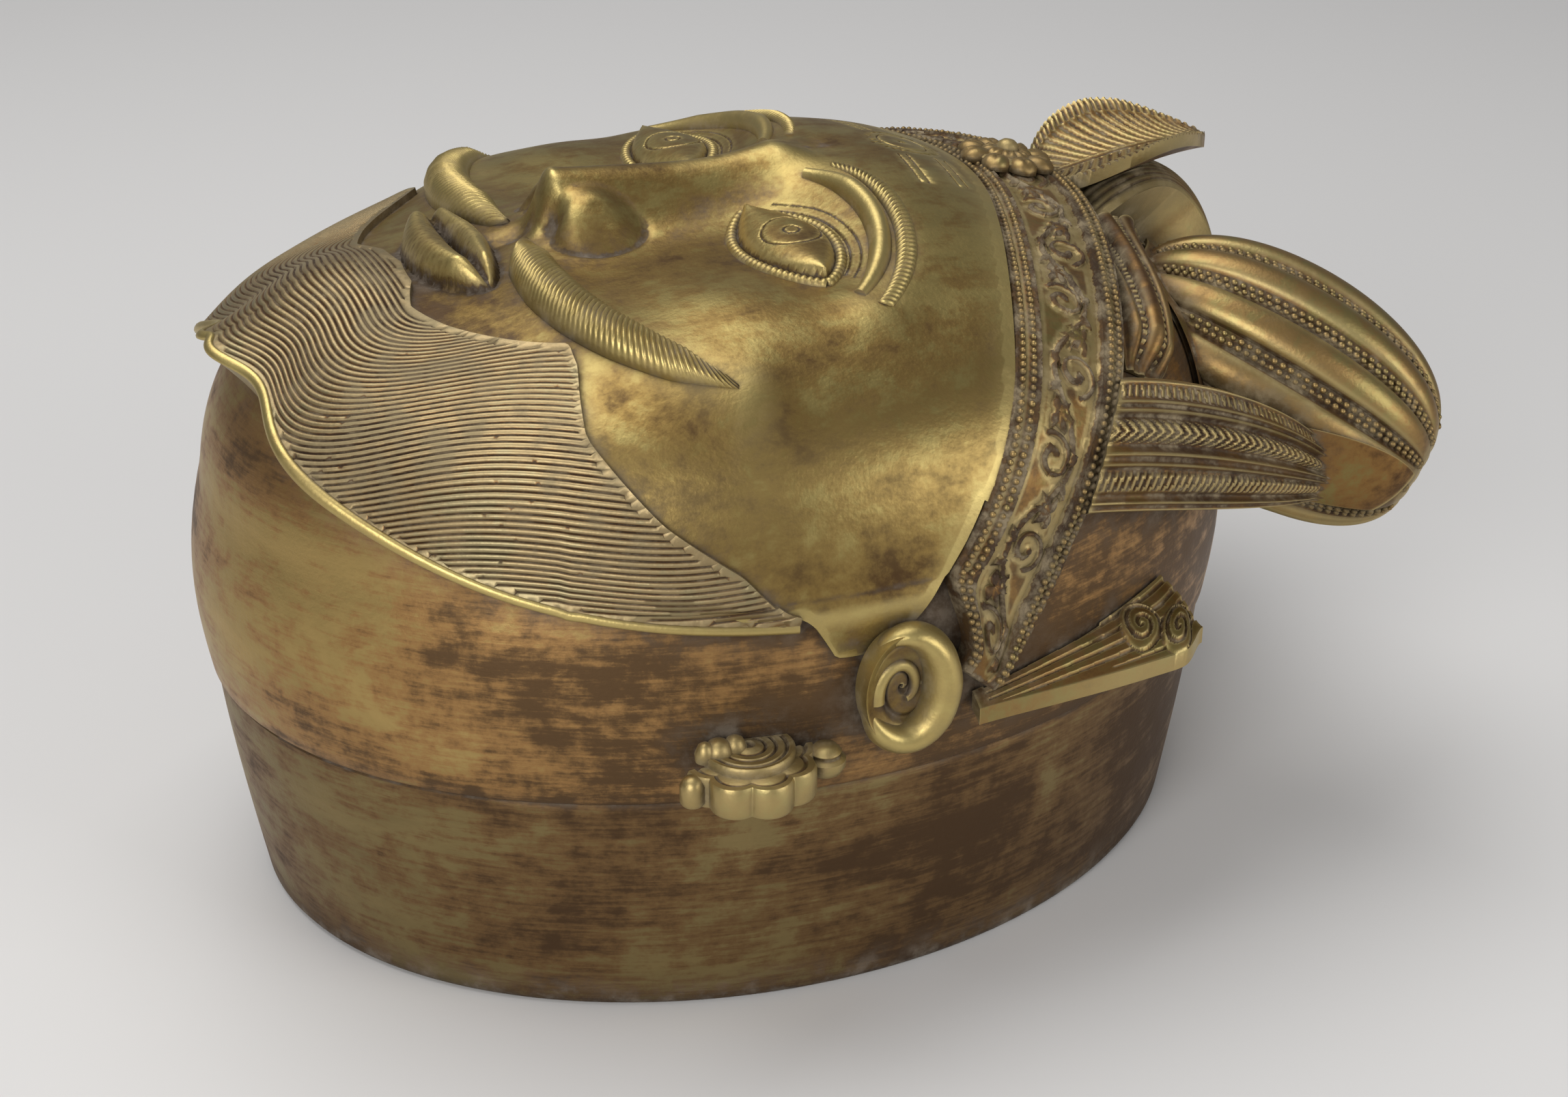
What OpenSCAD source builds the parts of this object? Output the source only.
// Cast brass betel box: an oval base, a lift-off lid in the form of a bearded head that lies
// face up, and a lift-out tray with five lidded cups. X runs from chin to crown, Z is up,
// and the origin is the middle of the foot. Lengths are millimetres, angles are degrees.

/* [Box] */
// Length of the rim, chin to crown
rim_length = 199; // [185:1:225]
// Width of the rim, ear to ear
rim_width = 157; // [146:1:176]
// Height of the base, table to seam
base_height = 46; // [42:1:56]
// How far the foot is drawn in from the rim
foot_inset = 6; // [2:0.5:10]
// Thickness of the base's wall
base_wall = 4.4; // [4:0.1:5.4]
// Thickness of the base's floor
floor_thickness = 3.5; // [2.5:0.1:6]

/* [Lid] */
// Height of the lid's dome above the seam, under the face
dome_height = 75; // [70:1:84]
// Thickness of the lid's wall
lid_wall = 3.2; // [2:0.1:4]
// How far the lid stands proud of the base
lid_proud = 0.8; // [0.2:0.1:1.2]
// Outward swell of the lid's wall, as a share of its radius
dome_swell = 0.02; // [0:0.002:0.03]
// Height of the inner collar above the seam
collar_rise = 8; // [5:0.5:10]
// Depth of the collar's seat below the seam
collar_seat = 8; // [5:0.5:10]
// Thickness of the collar
collar_wall = 2; // [1.6:0.1:2.6]

/* [Head] */
// Thickness of the face where it meets the dome
face_edge = 3.2; // [2.4:0.1:4]
// Height of the forehead above the rest of the face
forehead_rise = 9; // [6:0.5:12]
// Height of the nose above the rest of the face
nose_rise = 12; // [9:0.5:15]
// Height of the lips above the rest of the face
lip_rise = 5; // [3:0.5:7]
// Height of the moustache above the rest of the face
moustache_rise = 4.5; // [2.5:0.5:6]
// Height of the eyes above the rest of the face
eye_rise = 3.8; // [2.5:0.1:5]
// Height of the brows above the rest of the face
brow_rise = 3; // [1.5:0.1:4]
// How far the beard stands above the face
beard_lift = 1; // [0.6:0.1:1.6]
// How far the tip of the beard reaches past the dome
beard_reach = 20; // [14:1:24]
// Thickness of the beard's edge
beard_edge = 2.4; // [1.6:0.1:3.2]
// Width of the headband
band_width = 21; // [17:0.5:24]
// Thickness of the headband at the ears
band_thickness = 4; // [3:0.2:5.4]
// Radius of the rosette
rosette_radius = 9.5; // [7:0.5:11]
// Number of petals round the rosette
rosette_petals = 8; // [6:1:10]
// Length of the crest leaf
crest_length = 34; // [28:1:38]
// Thickness of the crest leaf
crest_thickness = 2.6; // [2:0.2:3.6]

/* [Hair] */
// Girth of each bun, as the radius at its middle
bun_radius = 25; // [22:0.5:29]
// Number of rolls round a whole bun
bun_rolls = 13; // [9:1:16]
// Depth of the grooves between the rolls
bun_groove = 2.2; // [1:0.2:3]
// Height of the side curls above the dome
curl_rise = 9; // [6:0.5:11]
// Height of the hair between the buns above the dome
cap_rise = 15; // [10:0.5:18]

/* [Ears] */
// Height of each ear
ear_height = 26; // [22:0.5:28]
// Thickness of each ear's rolled rim
ear_roll = 6; // [4:0.5:7]
// Radius of each earring's disc
earring_radius = 12; // [9:0.5:13]
// Thickness of each earring's disc
earring_thickness = 6; // [4:0.5:7]
// Length of the leaf behind each ear
ear_leaf_length = 46; // [38:1:50]
// Thickness of the leaf behind each ear
ear_leaf_thickness = 3.2; // [2.4:0.2:4.4]

/* [Tray and cups] */
// Depth of the tray
tray_depth = 18; // [14:0.5:22]
// Thickness of the tray's sheet
tray_sheet = 1.2; // [0.9:0.1:1.8]
// Radius of a cup's mouth
cup_radius = 21; // [17:0.5:22]
// Height of a cup
cup_height = 26; // [20:0.5:28]
// Thickness of a cup's wall
cup_wall = 1.4; // [1:0.1:2]
// Height of a cup lid's knob
knob_height = 9; // [7:0.5:10]

/* [Hidden] */
$fn = 96;

half_l = rim_length / 2;
half_w = rim_width / 2;
lid_l = half_l + lid_proud;
lid_w = half_w + lid_proud;
seam = base_height;
crown = seam + dome_height;

lid_clearance = 0.4;   // collar to lid, all round
seat_clearance = 0.05; // collar in its seat
rest_gap = 0.05;       // between flat faces that rest on each other
skin_gap = 0.3;        // between pieces laid one on another
seat_depth = 1.6;      // how far the collar's seat cuts into the base's wall
foot_bevel = 1.2;

brass = [0.62, 0.50, 0.24];
dark_brass = [0.42, 0.33, 0.18];
inner_brass = [0.72, 0.60, 0.32];

// ---------- helpers ----------
function lerp(a, b, t) = a + (b - a) * t;
function clamp(x) = min(1, max(0, x));
function smooth(a, b, x) = let (t = clamp((x - a) / (b - a))) t * t * (3 - 2 * t);
function bell(x, w) = exp(-pow(x / w, 2));
function bulge(x, y, rx, ry) = sqrt(max(0, 1 - pow(x / rx, 2) - pow(y / ry, 2)));
function unit(v) = v / norm(v);
function to_segment(p, a, b) =
    let (t = clamp((p - a) * (b - a) / ((b - a) * (b - a)))) norm(p - lerp(a, b, t));
function to_line(p, line) =
    min([for (i = [0:len(line) - 2]) to_segment(p, line[i], line[i + 1])]);
function bezier(a, b, c, d, t) =
    pow(1 - t, 3) * a + 3 * t * pow(1 - t, 2) * b + 3 * t * t * (1 - t) * c + pow(t, 3) * d;

// ---------- the dome that everything on the lid sits on ----------
dome_power = 7;     // how square the shoulder is
dome_round = 0.42;  // how full the crown is
dome_draw = 0.05;   // how far the wall leans in, as a share of its radius
swell_end = 0.5;    // share of the dome's height at which its swell ends

function dome_share(h) = pow(1 - pow(clamp(h), dome_power), dome_round) * (1 - dome_draw * h * h)
    + dome_swell * sin(180 * clamp(h / swell_end));
function share_at(z) = dome_share((z - seam) / dome_height);
// A point of the dome, u degrees round from the crown's end, at height z
function dome_point(u, z) =
    let (s = share_at(z)) [lid_l * s * cos(u), lid_w * s * sin(u), z];
function in_dome(p, gap) = p.z < crown + gap
    && pow(p.x / (lid_l + gap), 2) + pow(p.y / (lid_w + gap), 2) < pow(share_at(p.z - gap), 2);
function dome_normal(p) =
    let (z = min(p.z, crown - 0.4), step = 0.2, slope = (share_at(z + step) - share_at(z - step)) / (2 * step))
    unit([2 * p.x / pow(lid_l, 2), 2 * p.y / pow(lid_w, 2), -2 * share_at(z) * slope]);
// How far from p, along d, the surface gap above the dome lies, between lo and hi
function reach(p, d, gap, lo, hi, n = 16) = n == 0 ? (lo + hi) / 2 :
    let (m = (lo + hi) / 2)
    in_dome(p + d * m, gap) ? reach(p, d, gap, m, hi, n - 1) : reach(p, d, gap, lo, m, n - 1);
// The point above or below p, along the normal n, that lies gap above the dome
function settle(p, n, gap) = p + n * reach(p, n, gap, -16, 10);

// Arc length down the dome from its apex, with the height there
dome_steps = 120;
dome_mean = (lid_l + lid_w) / 2;
dome_run = [for (i = 0, s = 0, p = [0, crown]; i <= dome_steps;
    i = i + 1,
    z = seam + dome_height * pow(sin(90 * pow(1 - i / dome_steps, 2)), 2 / dome_power),
    q = [dome_mean * share_at(z), z], s = s + norm(q - p), p = q) [s, p[1]]];
height_at_run = dome_run;
run_at_height = [for (i = [dome_steps:-1:0]) [dome_run[i][1], dome_run[i][0]]];

// ---------- solids ----------
// Turned oval of [radius along X, height] points
module oval(profile, ratio) scale([1, ratio, 1])
    for (k = [0:3]) rotate(90 * k) rotate_extrude(angle = 90) polygon(profile);
// Upright oval block, drawn in from the base's rim by inset
module oval_block(inset, z0, z1)
    translate([0, 0, z0]) scale([1, (half_w - inset) / (half_l - inset), 1])
        cylinder(r = half_l - inset, h = z1 - z0);

// A closed solid between two grids of points of the same shape
module sheet(top, bottom) {
    rows = len(top);
    cols = len(top[0]);
    n = rows * cols;
    function at(r, c) = r * cols + c;
    polyhedron([for (r = top) each r, for (r = bottom) each r], [
        for (r = [0:rows - 2]) for (c = [0:cols - 2]) each [
            [at(r, c), at(r + 1, c + 1), at(r, c + 1)],
            [at(r, c), at(r + 1, c), at(r + 1, c + 1)],
            [n + at(r, c), n + at(r, c + 1), n + at(r + 1, c + 1)],
            [n + at(r, c), n + at(r + 1, c + 1), n + at(r + 1, c)]],
        for (c = [0:cols - 2]) each [
            [at(0, c), at(0, c + 1), n + at(0, c + 1)],
            [at(0, c), n + at(0, c + 1), n + at(0, c)],
            [at(rows - 1, c), n + at(rows - 1, c + 1), at(rows - 1, c + 1)],
            [at(rows - 1, c), n + at(rows - 1, c), n + at(rows - 1, c + 1)]],
        for (r = [0:rows - 2]) each [
            [at(r, 0), n + at(r, 0), n + at(r + 1, 0)],
            [at(r, 0), n + at(r + 1, 0), at(r + 1, 0)],
            [at(r, cols - 1), n + at(r + 1, cols - 1), n + at(r, cols - 1)],
            [at(r, cols - 1), at(r + 1, cols - 1), n + at(r + 1, cols - 1)]]]);
}

// A closed solid between two round grids, from a shared edge, row 0, to an apex each
module cap_sheet(top, top_apex, bottom, bottom_apex) {
    cols = len(top[0]);
    rt = len(top);
    rb = len(bottom);
    apex = rt * cols;
    n = apex + 1;
    low_apex = n + rb * cols;
    function at(r, c) = r * cols + c % cols;
    polyhedron(
        [for (r = top) each r, top_apex, for (r = bottom) each r, bottom_apex],
        [for (r = [0:rt - 2]) for (c = [0:cols - 1]) each [
            [at(r, c), at(r + 1, c + 1), at(r, c + 1)],
            [at(r, c), at(r + 1, c), at(r + 1, c + 1)]],
        for (r = [0:rb - 2]) for (c = [0:cols - 1]) each [
            [n + at(r, c), n + at(r, c + 1), n + at(r + 1, c + 1)],
            [n + at(r, c), n + at(r + 1, c + 1), n + at(r + 1, c)]],
        for (c = [0:cols - 1]) each [
            [at(rt - 1, c), apex, at(rt - 1, c + 1)],
            [n + at(rb - 1, c), n + at(rb - 1, c + 1), low_apex],
            [at(0, c), at(0, c + 1), n + at(0, c + 1)],
            [at(0, c), n + at(0, c + 1), n + at(0, c)]]]);
}

// A strip laid along a line on the dome: offset(t, v) to the side of it and rise(t, v) thick,
// where t runs along the line from 0 to 1 and v across it from -1 to 1
module strip(line, offset, rise, across) {
    n = len(line) - 1;
    function side(i) = let (t = unit(line[min(n, i + 1)] - line[max(0, i - 1)]))
        unit(cross(t, dome_normal(line[i])));
    spots = [for (i = [0:n]) let (nrm = dome_normal(line[i]))
        [for (j = [0:across]) let (v = 2 * j / across - 1)
            settle(line[i] + side(i) * offset(i / n, v), nrm, skin_gap)]];
    sheet([for (i = [0:n]) [for (j = [0:across])
        spots[i][j] + dome_normal(spots[i][j]) * rise(i / n, 2 * j / across - 1)]], spots);
}

// ---------- the head ----------
// The middle lines of a brow and of the moustache's left half, seen from above
brow_line = [for (i = [0:10]) bezier([15, 8], [22, 17], [23, 37], [7, 49], i / 10)];
moustache_line = [for (i = [0:12]) bezier([-39, 6.5], [-44, 22], [-43, 46], [-22, 60], i / 12)];
// Height of the head's skin above the dome, over the place x, y seen from above
function forehead(x, y) = forehead_rise * bell(x - 29, 24) * bell(y, 44);
function under_brow(x, y) = 1.5 * bell(to_line([x, y], brow_line), 7);
function under_moustache(x, y) = 1.2 * bell(to_line([x, y], moustache_line), 8);
function eye_hollow(x, y) = -1.2 * bell(x - eye_x, 13) * bell(y - eye_y, 17);
function chin(x, y) = 4 * bell(x + 70, 9) * bell(y, 15);
function cheek(x, y) = 3.5 * bell(x + 15, 20) * bell(y - 46, 17);
function head_rise(x, y) = let (b = abs(y)) face_edge + forehead(x, b) + under_brow(x, b)
    + under_moustache(x, b) + eye_hollow(x, b) + chin(x, b) + cheek(x, b);

// Headband: its middle line, by the roll angle round the head's long axis
band_reach = 59;     // where it crosses the top
band_axis_z = seam + 18; // height of the axis that the roll angle turns about
band_end = 87.5;     // roll angle of its ends, behind the ears
band_tuck = 0.06;    // share of its length, at each end, where its front edge clears the ear
band_steps = 52;
function band_x(roll) = band_reach * pow(cos(0.97 * roll), 0.85);
function band_point(roll) = let (o = [band_x(roll), 0, band_axis_z], d = [0, sin(roll), cos(roll)])
    o + d * reach(o, d, 0, 20, 110);
band_line = [for (i = [0:band_steps]) band_point(lerp(-band_end, band_end, i / band_steps))];
function band_rise(t) = band_thickness + 3 * bell(t - 0.5, 0.22);

// The face's edge: the band's front edge above the ears, and the beard's line below them
face_columns = 80;
face_crowd = 7;     // degrees by which its columns crowd towards the ears
ear_turn = 88;       // degrees from the crown's end to the ear
ear_top_z = seam + 32;
function beard_z(v) = ear_top_z + 34 * bell(v, 42) + 2 * exp(-v / 6);
// Height of the point of the spoke u where the band's front edge crosses it
function band_front(u, lo, hi, n = 14) = let (m = (lo + hi) / 2, p = dome_point(u, m))
    n == 0 ? m : to_line(p, band_line) > band_width / 2 + skin_gap && p.x < band_x(atan2(abs(p.y), p.z - band_axis_z))
        ? band_front(u, lo, m, n - 1) : band_front(u, m, hi, n - 1);
// Run down the dome to the face's lower edge, by the degrees round from the chin: under the lip,
// round the bare corner of the mouth, along the moustache and out round the cheek
chin_run = [[0, 53], [10, 54.5], [18, 59], [28, 60], [50, 61], [53, 66], [57, 79], [66, 92], [75, 102], [84, 111]];
function face_z(u) = let (a = abs(u))
    a < ear_turn ? band_front(u, seam + 20, crown - 0.5)
        : max(ear_top_z - 6, lookup(lookup(180 - a, chin_run), height_at_run));

skin_rows = 12;
seat_rows = 13;
face_gap = 0.9;      // under the face, so that its flat facets clear the round dome
function skin_column(u, rows, edge_z, rise, crowd) =
    let (edge = lookup(edge_z, run_at_height))
    [for (r = [0:rows - 1]) let (p = dome_point(u, lookup(edge * (1 - pow(r / rows, crowd)), height_at_run)))
        p + dome_normal(p) * (rise ? head_rise(p.x, p.y) : face_gap)];
face_turns = [for (i = [0:face_columns - 1]) let (u = 360 * (i + 0.5) / face_columns - 180)
    u + face_crowd * sin(2 * u)];
function flip(grid) = [for (r = [0:len(grid[0]) - 1]) [for (c = grid) c[r]]];

module face_mask() color(brass) {
    edges = [for (u = face_turns) face_z(u)];
    cap_sheet(
        flip([for (i = [0:face_columns - 1]) skin_column(face_turns[i], skin_rows, edges[i], true, 1)]),
        [0, 0, crown + head_rise(0, 0)],
        flip([for (i = [0:face_columns - 1]) skin_column(face_turns[i], seat_rows, edges[i], false, 1.4)]),
        [0, 0, crown + face_gap]);
}

// Pieces laid on the skin, given by places seen from above
piece_gap = 0.45;
piece_edge = 0.6;    // least thickness
height_at_share = [for (p = dome_run) if (p[1] > seam + 0.35 * dome_height) [share_at(p[1]), p[1]]];
function on_dome(q) = [q.x, q.y, lookup(norm([q.x / lid_l, q.y / lid_w]), height_at_share)];
function on_skin(q, up) = let (p = on_dome(q)) p + dome_normal(p) * (head_rise(q.x, q.y) + piece_gap + up);
// A piece from an outline to its middle: height(place, share of the way in)
module skin_piece(outline, middle, height, rows)
    cap_sheet(
        [for (r = [0:rows - 1]) [for (e = outline) let (q = lerp(e, middle, r / rows))
            on_skin(q, piece_edge + height(q, r / rows))]],
        on_skin(middle, piece_edge + height(middle, 1)),
        [for (r = [0:3]) [for (e = outline) on_skin(lerp(e, middle, r / 4), 0)]],
        on_skin(middle, 0));
// A piece along a line: half(t) wide and height(t, v) thick
module skin_strip(line, half, height, across) {
    n = len(line) - 1;
    places = [for (i = [0:n]) let (w = unit(line[min(n, i + 1)] - line[max(0, i - 1)]))
        [for (j = [0:across]) line[i] + [w.y, -w.x] * half(i / n) * (2 * j / across - 1)]];
    sheet([for (i = [0:n]) [for (j = [0:across])
            on_skin(places[i][j], piece_edge + height(i / n, 2 * j / across - 1))]],
        [for (row = places) [for (q = row) on_skin(q, 0)]]);
}

nose_top = 18;
nose_x = -31;
nose_edge = [for (i = [0:25]) let (a = 360 * i / 26)
    cos(a) > 0 ? [-22 + 38 * cos(a), 9.5 * sin(a) * (1 - 0.55 * cos(a))]
    : [-22 + 15.5 * cos(a), 16.5 * sin(a) * (0.58 + 0.42 * smooth(0, 0.5, -cos(a)))]];
function nose_height(q) = let (t = clamp((nose_top - q.x) / (nose_top - nose_x)))
    nose_rise * lerp(0.25, 1, pow(t, 0.8)) * bell(q.y, lerp(5.5, 8, t))
        * (q.x < nose_x ? bell(q.x - nose_x, 4) : 1)
    + 5 * bell(q.x - nose_x - 4, 5) * bell(abs(q.y) - 10.5, 3.6);
module nose() color(brass)
    skin_piece(nose_edge, [nose_x + 6, 0], function(q, w) nose_height(q) * smooth(0, 0.15, w), 10);

mouth = [-50.5, 17];    // its x and its half width
function mouth_line(y) = mouth.x + 1.5 * pow(y / mouth.y, 2);
module lips() color(brass)
    skin_piece([for (i = [0:23]) let (a = 360 * i / 24) [mouth_line(mouth.y * sin(a))
            + cos(a) * (cos(a) > 0 ? 5 - bell(sin(a), 0.16) : 8.4), mouth.y * sin(a)]], [mouth_line(0), 0],
        function(q, w) let (d = q.x - mouth_line(q.y)) lip_rise * smooth(0, 0.2, w)
            * sqrt(max(0, 1 - pow(q.y / (mouth.y + 0.5), 2))) * (0.85 * bell(d - 2.6, 1.9) + bell(d + 4, 3)), 7);

// Brow: a smooth ridge with a lower hatched edge above it
module brow_left() color(brass)
    skin_strip(brow_line, function(t) lerp(4, 4.6, t),
        function(t, v) brow_rise * (0.8 * bell(v + 0.55, 0.5) + 0.45 * bell(v - 0.5, 0.4)), 6);
module brow_right() mirror([0, 1, 0]) brow_left();

// Moustache: a tapering roll from beside the nose over the corner of the mouth
moustache_half = [[0, 2.4], [0.15, 4.6], [0.5, 4.6], [0.8, 3.6], [1, 1.6]];
module moustache_left() color(brass)
    skin_strip(moustache_line, function(t) lookup(t, moustache_half),
        function(t, v) moustache_rise * sqrt(max(0, 1 - v * v)) * lerp(0.6, 1, lookup(t, moustache_half) / 4.6), 6);
module moustache_right() mirror([0, 1, 0]) moustache_left();

// Eye: an almond with a raised rim round the ball
eye_x = 1;
eye_y = 27;
module eye_left() color(brass)
    skin_piece([for (i = [0:19]) let (a = 360 * i / 20, s = sin(a)) [eye_x - cos(a)
            + (s > 0 ? 8.4 : 7) * sign(s) * pow(abs(s), 1.5), eye_y - 14.5 * cos(a)]], [eye_x + 0.6, eye_y],
        function(q, w) eye_rise * (0.4 * bell(w - 0.1, 0.08) + sqrt(max(0, 1 - pow((1 - w) / 0.8, 2)))), 7);
module eye_right() mirror([0, 1, 0]) eye_left();

// Beard: from the face's lower edge out to a thin raised edge that overhangs the chin
beard_rows = 9;
beard_gap = 0.9;
beard_seat = 0.95;    // under the beard, for the same reason as the face's gap
beard_end = 79;      // degrees round from the chin to where the beard ends, short of the ear
function beard_rim(u) = let (v = 180 - abs(u), z = beard_z(v),
    s = share_at(z) + 0.03 + beard_reach / 100 * bell(v, 9) + 0.06 * bell(v - 20, 14))
    [lid_l * s * cos(u), lid_w * s * sin(u), z];
function beard_column(u) = let (v = 180 - abs(u),
    inner = lookup(face_z(u), run_at_height) + beard_gap,
    outer = lookup(beard_z(v) - 8 * bell(v, 24), run_at_height),
    rim_seat = dome_point(u, lookup(outer, height_at_run)),
    reach_out = beard_rim(u) - rim_seat - dome_normal(rim_seat) * beard_edge)
    [for (r = [0:beard_rows]) let (w = r / beard_rows,
        p = dome_point(u, lookup(lerp(outer, inner, w), height_at_run)),
        n = dome_normal(p),
        top = p + n * lerp(beard_edge, head_rise(p.x, p.y) + beard_lift, smooth(0, 0.5, w))
            + reach_out * pow(1 - w, 1.6),
        down = unit(top - p))
        [top, norm(top - p) < 9 ? p + n * beard_seat : top - down * 8.5]];
module beard() color(brass) {
    columns = [for (i = [0:len(face_turns) - 1]) let (u = face_turns[(i + floor(face_columns / 2)) % face_columns])
        if (180 - abs(u) < beard_end) beard_column(u)];
    sheet(flip([for (c = columns) [for (p = c) p[0]]]), flip([for (c = columns) [for (p = c) p[1]]]));
}

function band_side(t, v) = let (tuck = 1.1 * (1 - smooth(0.01, band_tuck, min(t, 1 - t))))
    band_width / 2 * lerp(tuck - 1, 1, (v + 1) / 2);
module headband() color(brass)
    strip(band_line, function(t, v) band_side(t, v),
        function(t, v) band_rise(t) - 0.9 * bell(abs(v) - 0.72, 0.07) - 1.2 * pow(abs(v), 12), 8);

// Rosette on the middle of the band: two rings of petals round a ball
rosette_seat = band_point(0);
rosette_tilt = atan2(dome_normal(rosette_seat).x, dome_normal(rosette_seat).z);
rosette_base = 1.6;
module rosette() color(brass)
    translate(rosette_seat) rotate([0, rosette_tilt, 0])
        translate([0, 0, skin_gap + band_rise(0.5) + skin_gap]) {
            cylinder(r = 0.7 * rosette_radius, h = rosette_base);
            petals(0.68 * rosette_radius, 0.32 * rosette_radius, 2.2, 0);
            translate([0, 0, rosette_base - 0.4]) petals(0.33 * rosette_radius, 0.2 * rosette_radius, 1.5, 0.5);
            translate([0, 0, rosette_base]) boss(0.22 * rosette_radius, 2);
        }
// A ring of round petals
module petals(ring, size, height, turn)
    for (i = [0:rosette_petals - 1]) rotate(360 * (i + turn) / rosette_petals)
        translate([ring, 0, 0]) boss(size, height);
// A cap cut from a ball, of the given radius and height
module boss(size, height) {
    ball = (size * size + height * height) / (2 * height);
    intersection() {
        translate([0, 0, height - ball]) sphere(r = ball);
        translate([-size, -size, 0]) cube(2 * size);
    }
}

// Crest leaf: a cupped leaf that springs from behind the band
crest_rows = 10;
crest_cols = 8;
crest_root = [71, 0, -0.5]; // its z is from the top of the dome
function crest_half(t) = 15 * pow(sin(180 * pow(lerp(0.12, 0.985, t), 0.8)), 0.8);
function crest_point(t, v, down) =
    [crest_root.x + crest_length * t, crest_half(t) * v,
        crown + crest_root.z + 3.5 * sin(110 * t) + 6 * v * v * sin(180 * clamp(t * 0.9 + 0.1)) - down];
module crest_leaf() color(brass)
    sheet([for (i = [0:crest_rows]) [for (j = [0:crest_cols])
            crest_point(i / crest_rows, 1 - 2 * j / crest_cols, 0)]],
        [for (i = [0:crest_rows]) [for (j = [0:crest_cols])
            crest_point(i / crest_rows, 1 - 2 * j / crest_cols, crest_thickness)]]);

// ---------- hair ----------
// Bun: a fluted spindle between two poles, laid against the dome
bun_top = [76, -17, seam + 54];
bun_foot = [122, -57, seam + 24];
bun_out = [0.9, -0.4, 0.2];
bun_heart = [58, -24, seam + 30];
bun_floor = seam + 15;
bun_rows = 12;
bun_step = 4;       // facets to a roll
bun_inner = -74;    // where its rolls begin and end round its axis
bun_outer = 112;
bun_taper = 0.7;
bun_mid = (bun_top + bun_foot) / 2;
bun_half = norm(bun_foot - bun_top) / 2;
bun_axis = unit(bun_foot - bun_top);
bun_face = unit(bun_out - bun_axis * (bun_out * bun_axis));
function bun_skin(b, a) = let (
    r = (bun_radius - bun_groove * (1 - abs(sin(a * bun_rolls / 2)))) * pow(sin(b), bun_taper),
    p = bun_mid - bun_axis * bun_half * cos(b) + (bun_face * cos(a) + cross(bun_axis, bun_face) * sin(a)) * r)
    [p.x, p.y, max(p.z, bun_floor)];
function in_bun(p, gap) = let (q = p - bun_mid, along = q * bun_axis, t = along / (bun_half + gap))
    p.z > bun_floor - gap && abs(t) < 1
        && norm(q - bun_axis * along) < bun_radius * pow(1 - t * t, bun_taper / 2) + gap;
// How far the dome, or the dome and both buns, reach from heart along d, gap above them
function ground(heart, d, gap, buns, lo = 0, hi = 90, n = 16) = n == 0 ? (lo + hi) / 2 :
    let (m = (lo + hi) / 2, p = heart + d * m)
    in_dome(p, gap) || (buns && (in_bun(p, gap) || in_bun([p.x, -p.y, p.z], gap)))
        ? ground(heart, d, gap, buns, m, hi, n - 1) : ground(heart, d, gap, buns, lo, m, n - 1);
// A point of a lock of hair, kept at least thin above what it lies on, and the point below it
hair_thin = 1.2;
function lock(p, heart, buns) = let (d = unit(p - heart), low = ground(heart, d, skin_gap, buns))
    [heart + d * max(norm(p - heart), low + hair_thin), heart + d * low];
// A lock of hair from a grid of such pairs
module hair(grid)
    sheet([for (row = grid) [for (p = row) p[0]]], [for (row = grid) [for (p = row) p[1]]]);

bun_cols = round((bun_outer - bun_inner) / (360 / bun_rolls) * bun_step);
module hair_bun_right() color(dark_brass)
    hair([for (i = [0:bun_rows]) [for (j = [0:bun_cols])
        lock(bun_skin(lerp(14, 166, i / bun_rows), lerp(bun_inner, bun_outer, j / bun_cols)),
            bun_heart, false)]]);
module hair_bun_left() mirror([0, 1, 0]) hair_bun_right();

// Side curl: a tapering roll that runs back from the band, over the foot of the bun
function across(line, t) = bezier(line[0], line[1], line[2], line[3], t);
function above_seam(line) = [for (p = line) p + [0, 0, seam]];
curl_low = above_seam([[39.5, -77, 40], [60, -73, 35], [82, -69, 28], [99, -60, 25]]);
curl_high = above_seam([[52, -66, 61], [70, -67, 58], [92, -66, 46], [101, -58, 31]]);
curl_heart = [62, -28, seam + 34];
curl_rows = 12;
curl_cols = 9;
function curl_skin(t, v) = let (m = lerp(across(curl_low, t), across(curl_high, t), v))
    m + unit(m - curl_heart) * curl_rise * (sqrt(max(0, 1 - pow(2 * v - 1, 2))) - 0.5) * (1 - 0.6 * t);
module side_curl_right() color(dark_brass)
    hair([for (i = [0:curl_rows]) [for (j = [0:curl_cols])
        lock(curl_skin(i / curl_rows, 1 - j / curl_cols), curl_heart, true)]]);
module side_curl_left() mirror([0, 1, 0]) side_curl_right();

// Lock behind the band: a rounded ridge between the band, the bun and the side curl, by places
// seen from above
back_front = [[68.9, -18], [66.2, -29], [61.6, -42], [55.4, -55.5]];
back_rear = [[79.9, -18.3], [70.6, -28], [74, -47], [61.8, -55.7]];
back_rows = 11;
back_cols = 6;
back_rise = 4;
function back_point(t, v, up) = let (p = on_dome(lerp(across(back_front, t), across(back_rear, t), v)))
    p + dome_normal(p) * (piece_gap + up);
module back_lock_right() color(dark_brass)
    sheet([for (i = [0:back_rows]) [for (j = [0:back_cols]) let (v = 1 - j / back_cols)
            back_point(i / back_rows, v, hair_thin + back_rise * sqrt(max(0, 1 - pow(2 * v - 1, 2))))]],
        [for (i = [0:back_rows]) [for (j = [0:back_cols]) back_point(i / back_rows, 1 - j / back_cols, 0)]]);
module back_lock_left() mirror([0, 1, 0]) back_lock_right();

// Hair between the buns, under the crest leaf
cap_heart = [55, 0, seam + 32];
cap_rows = 18;
cap_cols = 8;
function under_crest(x, y) = let (t = clamp((x - crest_root.x) / crest_length))
    crest_point(t, clamp(abs(y) / crest_half(t)), crest_thickness).z - 2 * skin_gap;
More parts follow.
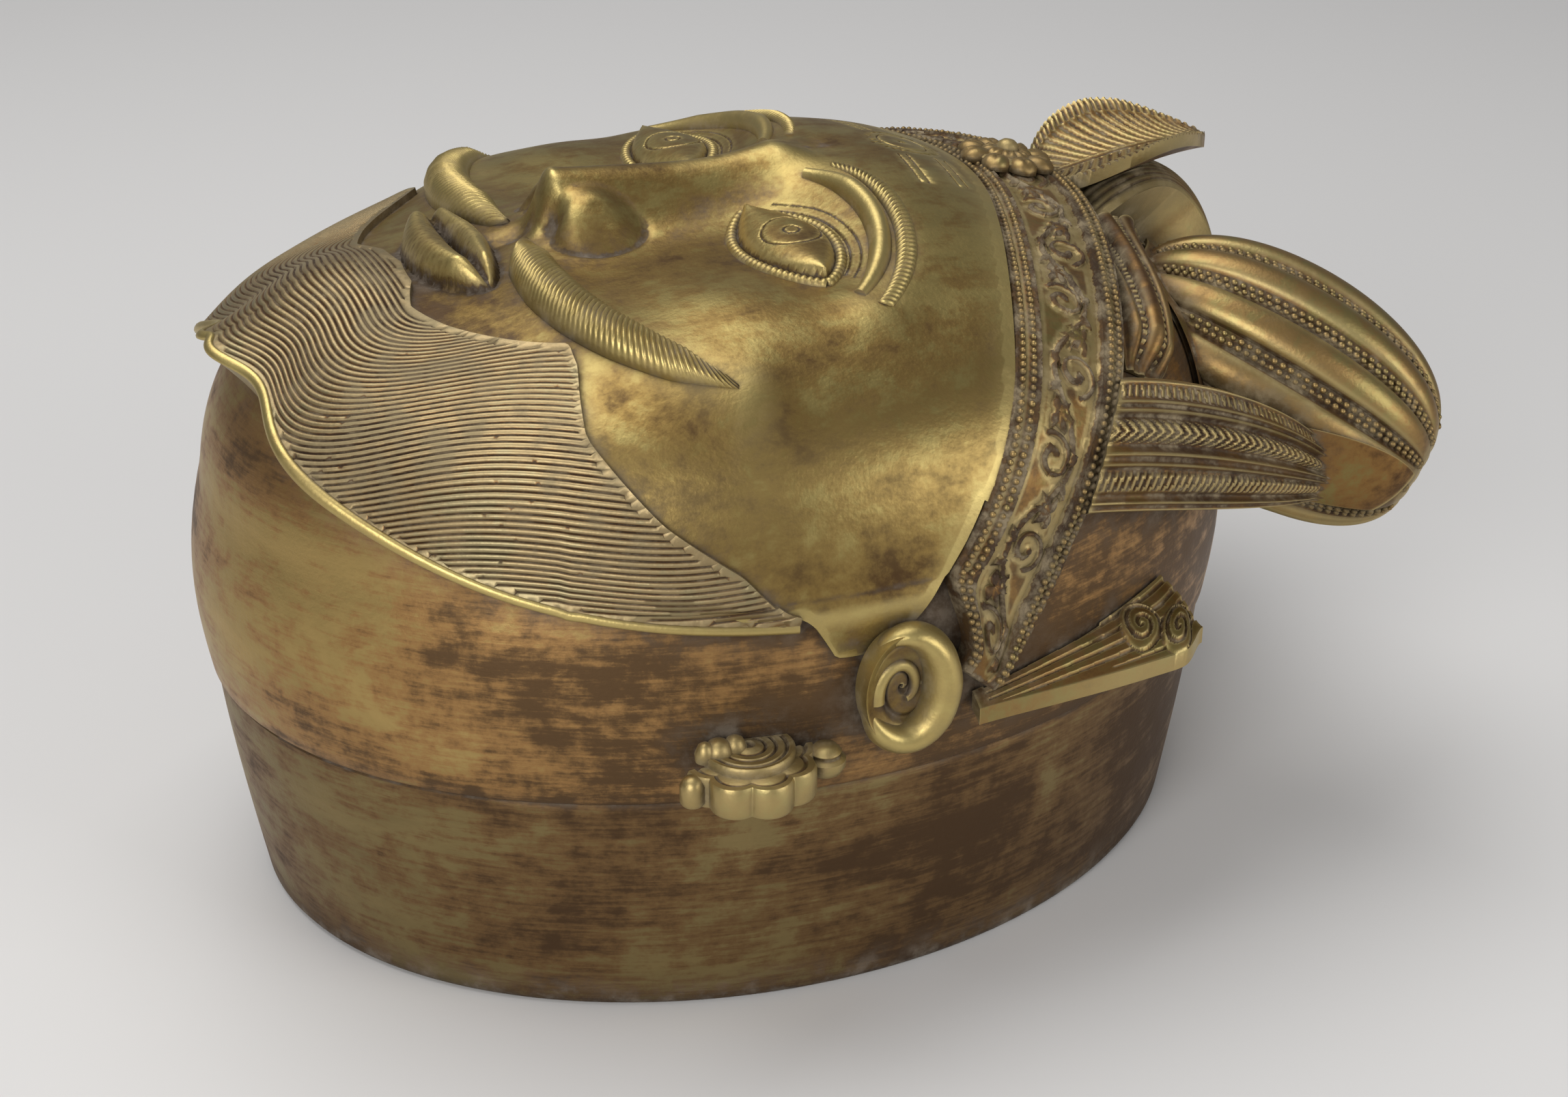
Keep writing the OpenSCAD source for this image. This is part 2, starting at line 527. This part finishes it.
// Half width of the cap at the place x, z, between lo and hi, that keeps it clear of the buns
function cap_half(x, z, lo, hi, n = 12) = n == 0 ? lo : let (m = (lo + hi) / 2)
    in_bun([x, -m, z], 2 * skin_gap) ? cap_half(x, z, lo, m, n - 1) : cap_half(x, z, m, hi, n - 1);
function cap_skin(t, v) = let (e = lerp(66, -8, t),
    far = lerp(43, 46, t) + cap_rise * pow(sin(180 * pow(t, 0.8)), 0.9),
    x = cap_heart.x + far * cos(e), z = cap_heart.z + far * sin(e),
    y = v * cap_half(x, z - 2, 1.5, lerp(15, 3.1, smooth(0, 0.4, t))))
    [x, y, min(z - 3 * v * v, x < crest_root.x + crest_length + 1 ? under_crest(x, y) : z)];
module hair_cap() color(dark_brass)
    hair([for (i = [0:cap_rows]) [for (j = [0:cap_cols])
        lock(cap_skin(i / cap_rows, 1 - 2 * j / cap_cols), cap_heart, false)]]);

// ---------- ears ----------
ear_centre = [-2, seam + 20];   // x and z
ear_wide = 0.72;         // its width as a share of its height
ear_back = lid_w * (1 + dome_swell) + skin_gap;
// A spiral of half turns of tube, each a fixed share of the one before, end to end
ear_tighten = 0.66;
module volute(r, roll, turns, i = 0) if (i < turns) {
    axis_r = r - roll / 2;
    rotate_extrude(angle = 180) translate([axis_r, 0]) circle(d = roll);
    translate([-axis_r * (1 - ear_tighten), 0, 0]) rotate(180)
        volute(r * ear_tighten, roll * ear_tighten, turns, i + 1);
}
module ear_right() color(brass)
    translate([ear_centre.x, -ear_back, ear_centre[1]]) rotate([90, 0, 0]) scale([ear_wide, 1, 1]) difference() {
        union() {
            cylinder(r = ear_height / 2 - ear_roll / 4, h = ear_roll * 0.45);
            translate([0, 0, ear_roll * 0.45]) rotate(60) volute(ear_height / 2, ear_roll, 4);
            translate([0, 0, ear_roll * 0.3]) cylinder(r = ear_roll * 0.45, h = ear_roll * 0.45);
        }
        translate([-ear_height, -ear_height, -ear_height]) cube([2 * ear_height, 2 * ear_height, ear_height]);
    }
module ear_left() mirror([0, 1, 0]) ear_right();

// Earring: a scalloped shelf with knobs, against the wall below the lobe
earring_x = -29;
earring_z = seam + 6;
module earring_right() color(brass) difference() {
    translate([earring_x, -ear_back, earring_z]) {
        linear_extrude(earring_thickness) {
            circle(r = earring_radius * 0.62);
            for (i = [0:4]) rotate(-180 + 45 * i)
                translate([earring_radius * 0.6, 0]) circle(r = earring_radius * 0.36);
        }
        translate([0, 1, earring_thickness - 0.5]) cylinder(r = earring_radius * 0.66, h = 1.6);
        translate([-earring_radius * 0.95, -2, 1]) cylinder(r = 2.2, h = earring_thickness - 2);
        translate([earring_radius * 1.05, -2.5, earring_thickness / 2]) sphere(r = 3.4);
    }
    translate([0, 0, earring_z - 5]) scale([1, ear_back / (lid_l + ear_back - lid_w), 1])
        cylinder(r = lid_l + ear_back - lid_w, h = earring_thickness + 12);
}
module earring_left() mirror([0, 1, 0]) earring_right();

// Leaf behind the ear: a shelf that widens to two scrolled lobes
leaf_root = 13;
leaf_rows = 14;
leaf_cols = 4;
function leaf_wall(x, z) = let (y = -lid_w * (1 + dome_swell) * sqrt(max(0, 1 - pow(x / (lid_l * (1 + dome_swell)), 2))))
    [x, y - skin_gap, z];
function leaf_point(t, v, down) = let (x = leaf_root + ear_leaf_length * t,
    out = lerp(3, 15, pow(t, 1.5)) * (1 - 0.25 * smooth(0.88, 1, t)),
    inner = leaf_wall(x, seam + 14 + 6 * t - down), lean = lerp(0, 5, t))
    [x + 2 * sin(180 * v) * t, inner.y - out * v, inner.z - v * (2 + lean)];
module ear_leaf_right() color(brass)
    sheet([for (i = [0:leaf_rows]) [for (j = [0:leaf_cols]) leaf_point(i / leaf_rows, j / leaf_cols, 0)]],
        [for (i = [0:leaf_rows]) [for (j = [0:leaf_cols])
            leaf_point(i / leaf_rows, j / leaf_cols, ear_leaf_thickness)]]);
module ear_leaf_left() mirror([0, 1, 0]) ear_leaf_right();

// ---------- box ----------
function base_r(z) = half_l - foot_inset * pow(1 - z / base_height, 1.3);
base_levels = 6;
module base_bowl() color(dark_brass) difference() {
    oval([[0, -1], [base_r(0) - foot_bevel, -1], [base_r(0) - foot_bevel, 0],
        for (i = [0:base_levels]) let (z = lerp(foot_bevel, base_height, i / base_levels)) [base_r(z), z],
        [0, base_height]], half_w / half_l);
    oval([[0, floor_thickness], [base_r(0) - base_wall - 4, floor_thickness],
        for (i = [1:base_levels]) let (z = lerp(floor_thickness + 4, base_height + 0.01, i / base_levels))
            [base_r(min(z, base_height)) - base_wall, z],
        [0, base_height + 0.01]], (half_w - base_wall) / (half_l - base_wall));
    oval_block(base_wall - seat_depth, seam - collar_seat, seam + 1);
    translate([-half_l, -half_w, -4]) cube([rim_length, rim_width, 4]); // cuts the foot flat
}

collar_inset = base_wall - seat_depth + seat_clearance;
module rim_collar() color(inner_brass) difference() {
    oval_block(collar_inset, seam - collar_seat, seam + collar_rise);
    oval_block(collar_inset + collar_wall, seam - collar_seat - 1, seam + collar_rise + 1);
}

dome_levels = 22;
register_top = seam + collar_rise + 2;
function dome_z(i, height) = seam + height * pow(sin(90 * pow(i / dome_levels, 1.7)), 2 / dome_power);
module lid_dome() color(brass) difference() {
    oval([[0, seam + rest_gap], [lid_l, seam + rest_gap],
        for (i = [1:dome_levels]) [lid_l * share_at(dome_z(i, dome_height)), dome_z(i, dome_height)]],
        lid_w / lid_l);
    inner_l = lid_l - lid_wall;
    inner_h = dome_height - lid_wall;
    oval([[0, register_top], [inner_l * dome_share((register_top - seam) / inner_h), register_top],
        for (i = [1:dome_levels]) if (dome_z(i, inner_h) > register_top + 1)
            [inner_l * dome_share((dome_z(i, inner_h) - seam) / inner_h), dome_z(i, inner_h)]],
        (lid_w - lid_wall) / inner_l);
    oval_block(collar_inset - lid_clearance, seam - 1, register_top + 0.01);
}

// ---------- tray and cups ----------
tray_top = seam + collar_rise + rest_gap + tray_sheet;
tray_inset = collar_inset + collar_wall + 0.8;
module cup_tray() color(inner_brass) difference() {
    union() {
        oval_block(collar_inset + 0.3, tray_top - tray_sheet, tray_top);
        oval_block(tray_inset, tray_top - tray_depth, tray_top - tray_sheet / 2);
    }
    oval_block(tray_inset + tray_sheet, tray_top - tray_depth + tray_sheet, tray_top + 1);
}

cup_places = [[0, 0], [-50, -27], [-50, 27], [50, -27], [50, 27]];
cup_foot = tray_top - tray_depth + tray_sheet + rest_gap;
module cup(i) color(brass) translate([each cup_places[i], cup_foot]) rotate_extrude() polygon([
    [0, 1.4], [cup_radius * 0.52, 1.4], [cup_radius * 0.52, 0], [cup_radius * 0.62, 0],
    [cup_radius * 0.68, 1.6], [cup_radius * 0.9, 5], [cup_radius, 10], [cup_radius, cup_height],
    [cup_radius - cup_wall, cup_height], [cup_radius - cup_wall, 10.2], [cup_radius * 0.9 - cup_wall, 6],
    [cup_radius * 0.66 - cup_wall, 2.8], [0, 2.8]]);
module cup_1() cup(0);
module cup_2() cup(1);
module cup_3() cup(2);
module cup_4() cup(3);
module cup_5() cup(4);

lid_sheet = 1.3;
knob_r = 4;
module cup_lid(i) color(inner_brass)
    translate([each cup_places[i], cup_foot + cup_height + rest_gap]) {
        rotate_extrude() polygon([
            [0, 2.2], [cup_radius - cup_wall - 2.4, 0], [cup_radius - cup_wall - 2.4, -3],
            [cup_radius - cup_wall - 0.4, -3], [cup_radius - cup_wall - 0.4, 0], [cup_radius + 0.6, 0],
            [cup_radius + 0.6, lid_sheet], [cup_radius * 0.5, lid_sheet + 1.8], [knob_r * 0.5, lid_sheet + 2.6],
            [knob_r * 0.5, knob_height - 3], [0, knob_height - 3]]);
        translate([0, 0, knob_height - knob_r * 0.55]) sphere(r = knob_r);
    }
module cup_lid_1() cup_lid(0);
module cup_lid_2() cup_lid(1);
module cup_lid_3() cup_lid(2);
module cup_lid_4() cup_lid(3);
module cup_lid_5() cup_lid(4);

base_bowl();
rim_collar();
lid_dome();
face_mask();
nose();
lips();
brow_left();
brow_right();
eye_left();
eye_right();
moustache_left();
moustache_right();
beard();
headband();
rosette();
crest_leaf();
hair_cap();
hair_bun_left();
hair_bun_right();
back_lock_left();
back_lock_right();
side_curl_left();
side_curl_right();
ear_left();
ear_right();
earring_left();
earring_right();
ear_leaf_left();
ear_leaf_right();
cup_tray();
cup_1();
cup_2();
cup_3();
cup_4();
cup_5();
cup_lid_1();
cup_lid_2();
cup_lid_3();
cup_lid_4();
cup_lid_5();
